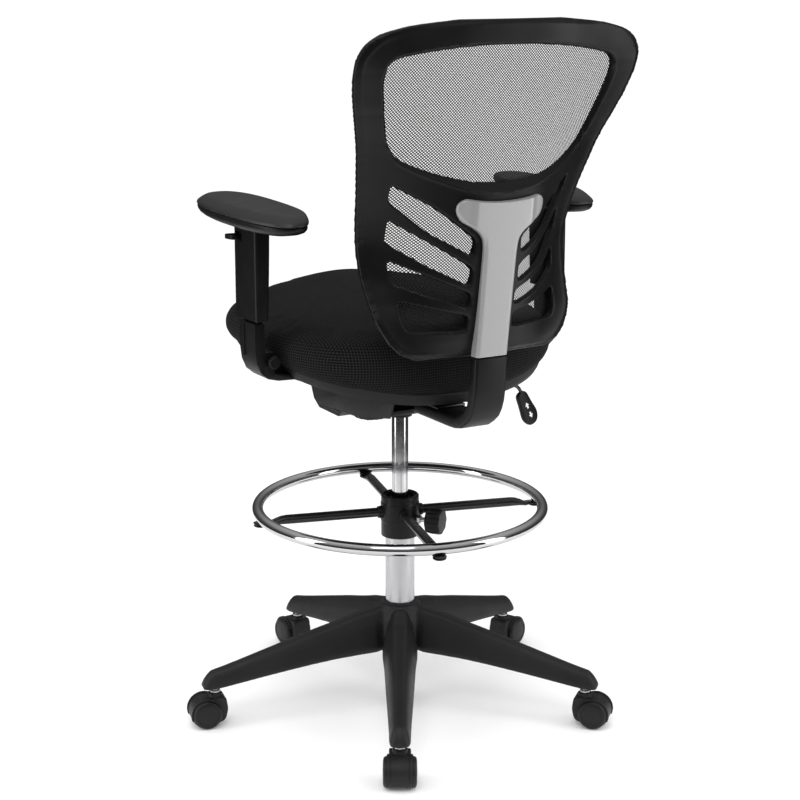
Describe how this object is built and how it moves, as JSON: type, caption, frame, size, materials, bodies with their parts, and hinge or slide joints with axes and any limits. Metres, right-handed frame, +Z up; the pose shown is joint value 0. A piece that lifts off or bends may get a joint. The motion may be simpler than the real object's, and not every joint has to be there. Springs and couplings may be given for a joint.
{
  "type": "drafting chair",
  "caption": "Tall swivel drafting chair with a mesh back, padded seat, adjustable arms, chrome foot ring, gas lift and a castered star base.",
  "frame": {"origin": "on the floor, under the middle of the chair's footprint", "axes": "+Z up; the sitter faces -Y; +X is the sitter's left"},
  "size_m": [0.7154, 0.7095, 1.1785],
  "materials": {
    "nylon": "charcoal, finely textured",
    "tread": "black, low sheen",
    "steel": "bare",
    "chrome": "mirror bright",
    "satin_plastic": "satin black",
    "shell_plastic": "dark grey, matte",
    "painted_steel": "satin black",
    "silver": "satin silver paint",
    "seat_fabric": "black spacer mesh with a fine grid",
    "back_mesh": "black see-through net",
    "pad": "soft black, matte"
  },
  "bodies": {
    "base": {"star_base": "nylon", "column_tube": "chrome", "column_bush": "satin_plastic", "thrust_bearing": "steel", "column_clip": "steel"},
    "caster_1_swivel": {"caster_1_stem": "steel", "caster_1_hood": "nylon"},
    "caster_1_roll": {"caster_1_wheels": "tread"},
    "caster_2_swivel": {"caster_2_stem": "steel", "caster_2_hood": "nylon"},
    "caster_2_roll": {"caster_2_wheels": "tread"},
    "caster_3_swivel": {"caster_3_stem": "steel", "caster_3_hood": "nylon"},
    "caster_3_roll": {"caster_3_wheels": "tread"},
    "caster_4_swivel": {"caster_4_stem": "steel", "caster_4_hood": "nylon"},
    "caster_4_roll": {"caster_4_wheels": "tread"},
    "caster_5_swivel": {"caster_5_stem": "steel", "caster_5_hood": "nylon"},
    "caster_5_roll": {"caster_5_wheels": "tread"},
    "spindle": {"piston_rod": "steel"},
    "lift": {"gas_cylinder": "chrome", "mechanism_housing": "shell_plastic", "tilt_axle": "steel", "tension_spring": "steel"},
    "valve": {"gas_valve_pin": "steel"},
    "tension": {"tension_knob": "satin_plastic"},
    "lock": {"tilt_lock_plate": "steel"},
    "lever": {"lever_rod": "painted_steel", "lever_paddle": "satin_plastic"},
    "foot_rest": {"foot_ring": "chrome", "foot_ring_collar": "satin_plastic", "foot_ring_spoke_1": "painted_steel", "foot_ring_spoke_2": "painted_steel", "foot_ring_spoke_3": "painted_steel", "foot_ring_spoke_4": "painted_steel", "foot_ring_bolt_1": "satin_plastic", "foot_ring_bolt_2": "satin_plastic", "foot_ring_bolt_3": "satin_plastic", "foot_ring_bolt_4": "satin_plastic"},
    "foot_rest_knob": {"foot_ring_knob": "satin_plastic"},
    "seat": {"seat_plate": "painted_steel", "seat_shell": "shell_plastic", "seat_cushion": "seat_fabric", "back_bracket": "satin_plastic", "t_bar": "silver", "back_frame": "satin_plastic", "back_mesh": "back_mesh", "arm_left_bracket": "satin_plastic", "arm_right_bracket": "satin_plastic"},
    "arm_left": {"arm_left_sleeve": "satin_plastic", "arm_left_pad_base": "satin_plastic", "arm_left_pad": "pad"},
    "arm_left_release": {"arm_left_trigger": "satin_plastic"},
    "arm_left_clamp": {"arm_left_knob": "satin_plastic"},
    "arm_right": {"arm_right_sleeve": "satin_plastic", "arm_right_pad_base": "satin_plastic", "arm_right_pad": "pad"},
    "arm_right_release": {"arm_right_trigger": "satin_plastic"},
    "arm_right_clamp": {"arm_right_knob": "satin_plastic"}
  },
  "joints": [
    {"name": "caster_1_turn", "type": "hinge", "parent": "base", "child": "caster_1_swivel", "pos_m": [0.1548, 0.30217, 0.02469], "axis": [0, 0, 1], "continuous": true},
    {"name": "caster_1_spin", "type": "hinge", "parent": "caster_1_swivel", "child": "caster_1_roll", "pos_m": [0.1633, 0.31689, 0.02469], "axis": [-0.866, 0.5, 0], "continuous": true},
    {"name": "caster_2_turn", "type": "hinge", "parent": "base", "child": "caster_2_swivel", "pos_m": [-0.22984, 0.26174, 0.02469], "axis": [0, 0, 1], "continuous": true},
    {"name": "caster_2_spin", "type": "hinge", "parent": "caster_2_swivel", "child": "caster_2_roll", "pos_m": [-0.24122, 0.27438, 0.02469], "axis": [-0.7431, -0.6691, 0], "continuous": true},
    {"name": "caster_3_turn", "type": "hinge", "parent": "base", "child": "caster_3_swivel", "pos_m": [-0.31026, -0.11657, 0.02469], "axis": [0, 0, 1], "continuous": true},
    {"name": "caster_3_spin", "type": "hinge", "parent": "caster_3_swivel", "child": "caster_3_roll", "pos_m": [-0.32579, -0.12348, 0.02469], "axis": [0.4067, -0.9135, 0], "continuous": true},
    {"name": "caster_4_turn", "type": "hinge", "parent": "base", "child": "caster_4_swivel", "pos_m": [0.02469, -0.30995, 0.02469], "axis": [0, 0, 1], "continuous": true},
    {"name": "caster_4_spin", "type": "hinge", "parent": "caster_4_swivel", "child": "caster_4_roll", "pos_m": [0.02647, -0.32685, 0.02469], "axis": [0.9945, 0.1045, 0], "continuous": true},
    {"name": "caster_5_turn", "type": "hinge", "parent": "base", "child": "caster_5_swivel", "pos_m": [0.31211, -0.05115, 0.02469], "axis": [0, 0, 1], "continuous": true},
    {"name": "caster_5_spin", "type": "hinge", "parent": "caster_5_swivel", "child": "caster_5_roll", "pos_m": [0.32874, -0.05469, 0.02469], "axis": [0.2079, 0.9781, 0], "continuous": true},
    {"name": "seat_swivel", "type": "hinge", "parent": "base", "child": "spindle", "pos_m": [-0.0097, 0.01725, 0.2955], "axis": [0, 0, 1], "continuous": true},
    {"name": "seat_lift", "type": "slide", "parent": "spindle", "child": "lift", "axis": [0, 0, 1], "range_m": [-0.105, 0.08]},
    {"name": "lock_pull", "type": "slide", "parent": "lift", "child": "lock", "axis": [-1, 0, 0], "range_m": [0, 0.012]},
    {"name": "lever_lift", "type": "hinge", "parent": "lock", "child": "lever", "pos_m": [-0.0817, 0.01725, 0.5495], "axis": [0, 1, 0], "range_deg": [0, 3], "stiffness_Nm_per_rad": 2},
    {"name": "valve_press", "type": "slide", "parent": "lift", "child": "valve", "axis": [0, 0, -1], "range_m": [0, 0.0045], "stiffness_N_per_m": 400},
    {"name": "tension_turn", "type": "hinge", "parent": "lift", "child": "tension", "pos_m": [-0.0097, -0.08075, 0.4955], "axis": [0, 0, 1], "continuous": true},
    {"name": "foot_rest_slide", "type": "slide", "parent": "base", "child": "foot_rest", "axis": [0, 0, 1], "range_m": [-0.11, 0]},
    {"name": "foot_rest_clamp_turn", "type": "hinge", "parent": "foot_rest", "child": "foot_rest_knob", "pos_m": [-0.04664, 0.06453, 0.334], "axis": [-0.6157, 0.788, 0], "continuous": true},
    {"name": "seat_tilt", "type": "hinge", "parent": "lift", "child": "seat", "pos_m": [-0.0097, -0.03275, 0.5305], "axis": [-1, 0, 0], "range_deg": [0, 12], "stiffness_Nm_per_rad": 150, "springref_deg": -17.19},
    {"name": "arm_left_height", "type": "slide", "parent": "seat", "child": "arm_left", "axis": [0, 0, 1], "range_m": [0, 0.075]},
    {"name": "arm_left_release_press", "type": "slide", "parent": "arm_left", "child": "arm_left_release", "axis": [-1, 0, 0], "range_m": [0, 0.004], "stiffness_N_per_m": 300},
    {"name": "arm_left_clamp_turn", "type": "hinge", "parent": "seat", "child": "arm_left_clamp", "pos_m": [0.2513, 0.07225, 0.6435], "axis": [0, 1, 0], "continuous": true},
    {"name": "arm_right_height", "type": "slide", "parent": "seat", "child": "arm_right", "axis": [0, 0, 1], "range_m": [0, 0.075]},
    {"name": "arm_right_release_press", "type": "slide", "parent": "arm_right", "child": "arm_right_release", "axis": [1, 0, 0], "range_m": [0, 0.004], "stiffness_N_per_m": 300},
    {"name": "arm_right_clamp_turn", "type": "hinge", "parent": "seat", "child": "arm_right_clamp", "pos_m": [-0.2707, 0.07225, 0.6435], "axis": [0, 1, 0], "continuous": true}
  ],
  "couplings": [
    {"joint": "valve_press", "follows": "lever_lift", "m_per_rad": 0.08}
  ]
}
